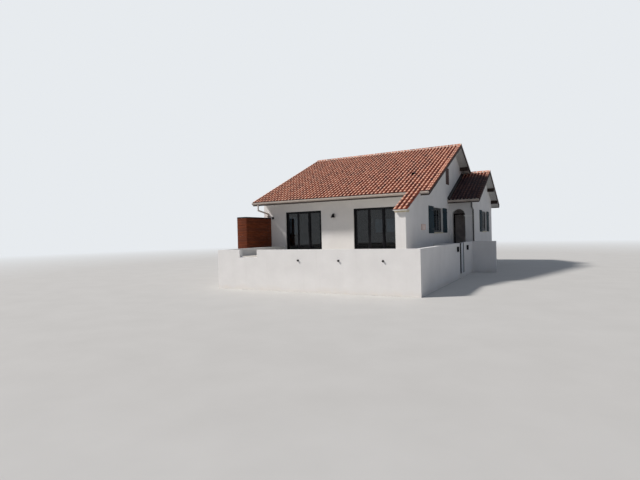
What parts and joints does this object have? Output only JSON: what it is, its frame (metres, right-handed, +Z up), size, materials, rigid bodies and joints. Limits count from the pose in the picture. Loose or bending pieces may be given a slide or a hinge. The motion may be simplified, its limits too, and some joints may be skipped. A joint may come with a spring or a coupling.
{
  "type": "beach house with walled terrace",
  "caption": "White rendered single-storey beach house under a tiled gable roof, with a side wing, an arched porch and a raised terrace behind low walls",
  "frame": {"origin": "on the lowest ground, under the middle of the main house; the ground is the underside of the walls and plinth", "axes": "+X along the ridge towards the right gable and the wing, +Y from the terrace towards the back, +Z up"},
  "size_m": [11.42, 19.066, 7.2986],
  "materials": {
    "render": "fine white rendered masonry, matt and slightly uneven",
    "stone": "cream cast stone moulding, matt",
    "floor": "pale grey concrete and paving slabs, matt",
    "roof": "weathered terracotta roof tiles, matt, mixed orange, pink and brown",
    "dark_timber": "very dark brown painted timber with open grain",
    "timber": "red-brown stained horizontal boards",
    "gutter": "off-white coated metal, satin",
    "frame": "near-black powder-coated aluminium, satin",
    "window": "dark grey coated window frames, satin",
    "pane": "clear double glazing with a faint blue-grey tint",
    "shutter": "dark blue-grey painted boarded shutters",
    "gate": "pale blue-white painted panel, satin",
    "lamp": "black painted metal, satin"
  },
  "bodies": {
    "house": {"house_plinth": "render", "house_floor": "floor", "wing_floor": "floor", "front_wall_piers": "render", "front_wall_head": "render", "spur_wall": "render", "moulded_caps": "stone", "gable_wall": "render", "left_gable_wall": "render", "back_wall": "render", "wing_gable_wall": "render", "porch_arch_wall": "render", "porch_piers": "render", "entrance_head": "render", "entrance_frame": "dark_timber", "main_roof_front": "roof", "main_roof_back": "roof", "wing_roof_front": "roof", "wing_roof_back": "roof", "ridge_tiles": "roof", "purlins": "dark_timber", "verge_boards": "dark_timber", "gutters": "gutter", "downpipes": "gutter", "sliding_frames": "frame", "fixed_glass": "pane", "window_frames": "window", "window_glass": "pane", "shutters": "shutter", "attic_shutters": "dark_timber", "terrace_front_wall": "render", "terrace_side_wall": "render", "terrace_end_walls": "render", "terrace_floor": "floor", "gate_posts": "frame", "timber_screen": "timber", "wall_lamps": "lamp", "drain_spouts": "lamp", "roof_vent": "lamp"},
    "front_door": {"entrance_door": "dark_timber"},
    "gate": {"garden_gate": "gate"},
    "left_slider": {"left_sash": "frame", "left_sash_glass": "pane"},
    "right_slider": {"right_sash": "frame", "right_sash_glass": "pane"}
  },
  "joints": [
    {"name": "front_door_hinge", "type": "hinge", "parent": "house", "child": "front_door", "pos_m": [4.504, 0.027, 2], "axis": [0, 0, 1], "range_deg": [0, 90]},
    {"name": "gate_hinge", "type": "hinge", "parent": "house", "child": "gate", "pos_m": [5.578, -3.824, 1], "axis": [0, 0, -1], "range_deg": [0, 90]},
    {"name": "left_slide", "type": "slide", "parent": "house", "child": "left_slider", "axis": [-1, 0, 0], "range_m": [0, 0.64]},
    {"name": "right_slide", "type": "slide", "parent": "house", "child": "right_slider", "axis": [-1, 0, 0], "range_m": [0, 0.7]}
  ]
}
